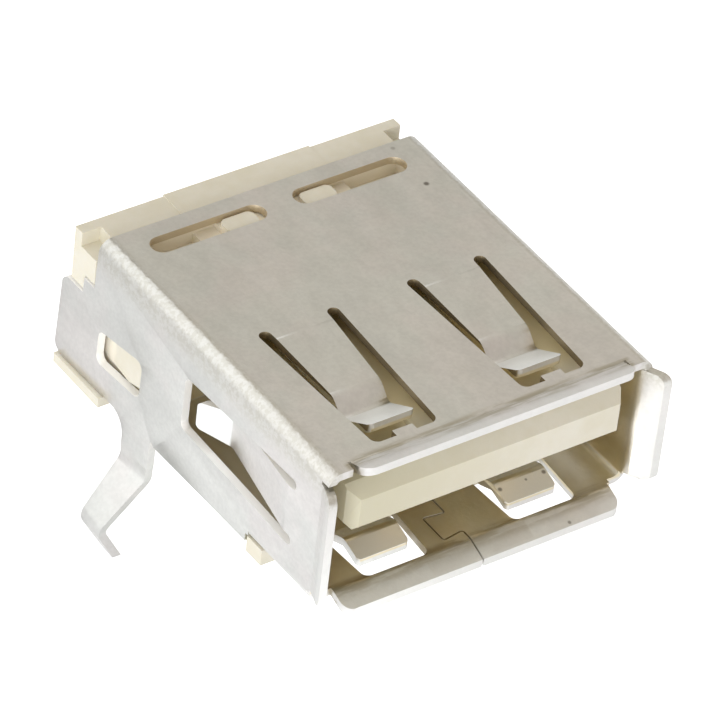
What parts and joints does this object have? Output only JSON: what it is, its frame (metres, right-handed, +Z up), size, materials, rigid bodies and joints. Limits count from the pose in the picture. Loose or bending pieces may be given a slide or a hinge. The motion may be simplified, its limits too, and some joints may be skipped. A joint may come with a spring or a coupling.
{
  "type": "usb-a socket",
  "caption": "Right-angle through-hole socket: a folded metal shell with sprung tabs around an ivory insulator with a tongue, bent contacts under it, and legs for a circuit board.",
  "frame": {"origin": "on the underside of the insulator, where it stands on the circuit board, on the middle line of the socket and in line with the two board legs", "axes": "+Z up from the board, the mouth faces -Y, +X across the mouth's width, to the right when looking into the mouth"},
  "size_m": [0.0166, 0.0162, 0.0115],
  "materials": {
    "plated_steel": "satin tin or nickel plate on stamped steel",
    "ivory_plastic": "moulded ivory plastic, slightly satin",
    "contact_plate": "thin gold-coloured plate on stamped copper alloy"
  },
  "bodies": {
    "root": {"shell": "plated_steel", "insulator": "ivory_plastic", "contact_1": "contact_plate", "contact_2": "contact_plate", "contact_3": "contact_plate", "contact_4": "contact_plate"}
  },
  "joints": []
}
